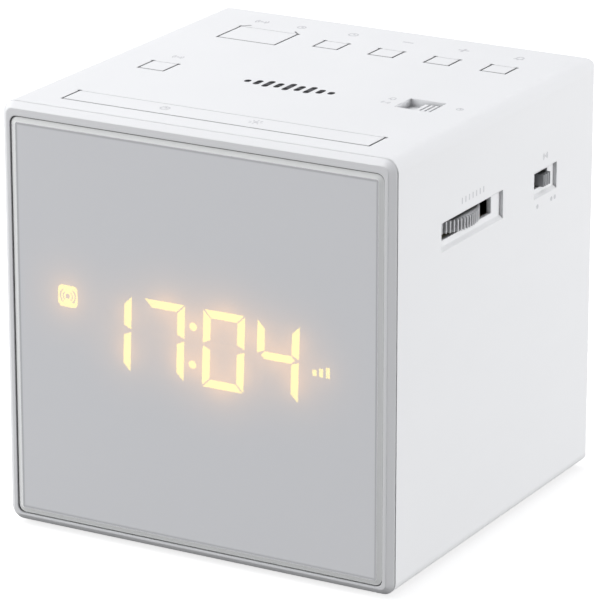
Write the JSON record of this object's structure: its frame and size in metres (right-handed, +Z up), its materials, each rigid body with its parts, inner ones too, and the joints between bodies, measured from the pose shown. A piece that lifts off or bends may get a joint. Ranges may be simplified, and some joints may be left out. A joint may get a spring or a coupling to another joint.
{
  "type": "clock radio",
  "caption": "Cube-shaped mains clock radio with a half-mirror front window over a seven-segment display, flexing top keys, side wheels and slide switches.",
  "frame": {"origin": "under the centre of the body, on the plane of the feet", "axes": "+Z up, the window faces -Y, +X is to the right when facing the window"},
  "size_m": [0.1046, 0.1017, 0.1026],
  "materials": {
    "white_plastic": "fine satin moulded",
    "window_mirror": "half-mirror acrylic",
    "black_plastic": "satin",
    "display_glow": "lit diffuser",
    "display_dark": "unlit diffuser",
    "rubber_foot": "matt",
    "screw_steel": "plated",
    "screw_black": "black zinc",
    "wheel_grey": "satin moulded",
    "slider_grey": "satin moulded",
    "switch_black": "moulded",
    "ivory_plastic": "moulded",
    "board_green": "solder mask",
    "board_brown": "paper laminate",
    "brass_shaft": "turned",
    "can_metal": "drawn",
    "capacitor_sleeve": "shrunk sleeve",
    "chip_black": "moulded epoxy",
    "cable_grey": "flat cable",
    "ferrite": "sintered",
    "copper_wire": "enamelled winding",
    "cord_white": "flexible PVC",
    "core_steel": "varnished laminations",
    "winding_tape": "tape",
    "frame_steel": "pressed",
    "paper_cone": "pressed paper",
    "cell_steel": "nickel plated"
  },
  "bodies": {
    "root": {"cabinet": "white_plastic", "front_bezel": "white_plastic", "front_window": "window_mirror", "display_mask": "black_plastic", "rear_cover": "white_plastic", "case_screws": "screw_black", "feet": "rubber_foot", "tactile_switches": "switch_black", "key_board": "board_green", "board_screws": "screw_steel", "alarm_switch": "switch_black", "band_switch": "switch_black", "tuning_capacitor": "ivory_plastic", "volume_control": "board_brown", "display_board": "board_green", "display_housing": "black_plastic", "lit_segments": "display_glow", "unlit_segments": "display_dark", "main_board": "board_brown", "radio_chips": "chip_black", "capacitors": "capacitor_sleeve", "filter_cans": "can_metal", "ribbon_cables": "cable_grey", "antenna_rod": "ferrite", "antenna_coil": "copper_wire", "antenna_cradles": "ivory_plastic", "aerial_wire": "cord_white", "transformer_core": "core_steel", "transformer_coil": "winding_tape", "mains_cord": "cord_white", "cord_bushing": "white_plastic", "speaker_frame": "frame_steel", "speaker_cone": "paper_cone", "speaker_magnet": "ferrite", "battery_holder": "black_plastic"},
    "snooze_key_body": {"snooze_bar": "white_plastic"},
    "snooze_plunger_body": {"snooze_plunger": "ivory_plastic"},
    "radio_key_body": {"radio_key": "white_plastic"},
    "radio_plunger_body": {"radio_plunger": "ivory_plastic"},
    "clock_key_body": {"clock_key": "white_plastic"},
    "clock_plunger_body": {"clock_plunger": "ivory_plastic"},
    "minus_key_body": {"minus_key": "white_plastic"},
    "minus_plunger_body": {"minus_plunger": "ivory_plastic"},
    "plus_key_body": {"plus_key": "white_plastic"},
    "plus_plunger_body": {"plus_plunger": "ivory_plastic"},
    "alarm_key_body": {"alarm_key": "white_plastic"},
    "alarm_plunger_body": {"alarm_plunger": "ivory_plastic"},
    "sleep_key_body": {"sleep_key": "white_plastic"},
    "sleep_plunger_body": {"sleep_plunger": "ivory_plastic"},
    "alarm_slider_body": {"alarm_slider": "white_plastic"},
    "band_slider_body": {"band_slider": "slider_grey"},
    "tuning_wheel_body": {"tuning_wheel": "wheel_grey", "tuning_shaft": "brass_shaft", "tuning_screw": "screw_steel"},
    "volume_wheel_body": {"volume_wheel": "wheel_grey", "volume_shaft": "can_metal", "volume_screw": "screw_steel"},
    "battery_drawer_body": {"battery_drawer": "white_plastic", "drawer_screw": "screw_steel", "coin_cell": "cell_steel"}
  },
  "joints": [
    {"name": "snooze_plunger_slide", "type": "slide", "parent": "root", "child": "snooze_plunger_body", "axis": [0, 0, -1], "range_m": [0, 0.00024]},
    {"name": "snooze_press", "type": "hinge", "parent": "root", "child": "snooze_key_body", "pos_m": [0.0004, -0.0345, 0.1016], "axis": [1, 0, 0], "range_deg": [0, 3.06], "stiffness_Nm_per_rad": 0.02},
    {"name": "radio_plunger_slide", "type": "slide", "parent": "root", "child": "radio_plunger_body", "axis": [0, 0, -1], "range_m": [0, 0.00024]},
    {"name": "radio_press", "type": "hinge", "parent": "root", "child": "radio_key_body", "pos_m": [-0.0286, 0.034, 0.1016], "axis": [1, 0, 0], "range_deg": [0, 1.97], "stiffness_Nm_per_rad": 0.02},
    {"name": "clock_plunger_slide", "type": "slide", "parent": "root", "child": "clock_plunger_body", "axis": [0, 0, -1], "range_m": [0, 0.00024]},
    {"name": "clock_press", "type": "hinge", "parent": "root", "child": "clock_key_body", "pos_m": [-0.00885, 0.032, 0.1016], "axis": [1, 0, 0], "range_deg": [0, 3.93], "stiffness_Nm_per_rad": 0.02},
    {"name": "minus_plunger_slide", "type": "slide", "parent": "root", "child": "minus_plunger_body", "axis": [0, 0, -1], "range_m": [0, 0.00024]},
    {"name": "minus_press", "type": "hinge", "parent": "root", "child": "minus_key_body", "pos_m": [0.00602, 0.032, 0.1016], "axis": [1, 0, 0], "range_deg": [0, 3.93], "stiffness_Nm_per_rad": 0.02},
    {"name": "plus_plunger_slide", "type": "slide", "parent": "root", "child": "plus_plunger_body", "axis": [0, 0, -1], "range_m": [0, 0.00024]},
    {"name": "plus_press", "type": "hinge", "parent": "root", "child": "plus_key_body", "pos_m": [0.02089, 0.032, 0.1016], "axis": [1, 0, 0], "range_deg": [0, 3.93], "stiffness_Nm_per_rad": 0.02},
    {"name": "alarm_plunger_slide", "type": "slide", "parent": "root", "child": "alarm_plunger_body", "axis": [0, 0, -1], "range_m": [0, 0.00024]},
    {"name": "alarm_press", "type": "hinge", "parent": "root", "child": "alarm_key_body", "pos_m": [0.03576, 0.032, 0.1016], "axis": [1, 0, 0], "range_deg": [0, 3.93], "stiffness_Nm_per_rad": 0.02},
    {"name": "sleep_plunger_slide", "type": "slide", "parent": "root", "child": "sleep_plunger_body", "axis": [0, 0, -1], "range_m": [0, 0.00024]},
    {"name": "sleep_press", "type": "hinge", "parent": "root", "child": "sleep_key_body", "pos_m": [-0.0349, -0.0038, 0.1016], "axis": [1, 0, 0], "range_deg": [0, 3.62], "stiffness_Nm_per_rad": 0.02},
    {"name": "alarm_slide", "type": "slide", "parent": "root", "child": "alarm_slider_body", "axis": [1, 0, 0], "range_m": [-0.004, 0]},
    {"name": "band_slide", "type": "slide", "parent": "root", "child": "band_slider_body", "axis": [0, 1, 0], "range_m": [-0.0032, 0]},
    {"name": "tuning_turn", "type": "hinge", "parent": "root", "child": "tuning_wheel_body", "pos_m": [0.0378, -0.01565, 0.08], "axis": [0, 0, 1], "range_deg": [-90, 90]},
    {"name": "volume_turn", "type": "hinge", "parent": "root", "child": "volume_wheel_body", "pos_m": [-0.0378, -0.01565, 0.08], "axis": [0, 0, 1], "range_deg": [-150, 150]},
    {"name": "drawer_slide", "type": "slide", "parent": "root", "child": "battery_drawer_body", "axis": [0, 1, 0], "range_m": [0, 0.026]}
  ],
  "couplings": [
    {"joint": "snooze_press", "follows": "snooze_plunger_slide", "rad_per_m": 222.22},
    {"joint": "radio_press", "follows": "radio_plunger_slide", "rad_per_m": 142.86},
    {"joint": "clock_press", "follows": "clock_plunger_slide", "rad_per_m": 285.71},
    {"joint": "minus_press", "follows": "minus_plunger_slide", "rad_per_m": 285.71},
    {"joint": "plus_press", "follows": "plus_plunger_slide", "rad_per_m": 285.71},
    {"joint": "alarm_press", "follows": "alarm_plunger_slide", "rad_per_m": 285.71},
    {"joint": "sleep_press", "follows": "sleep_plunger_slide", "rad_per_m": 263.16}
  ]
}
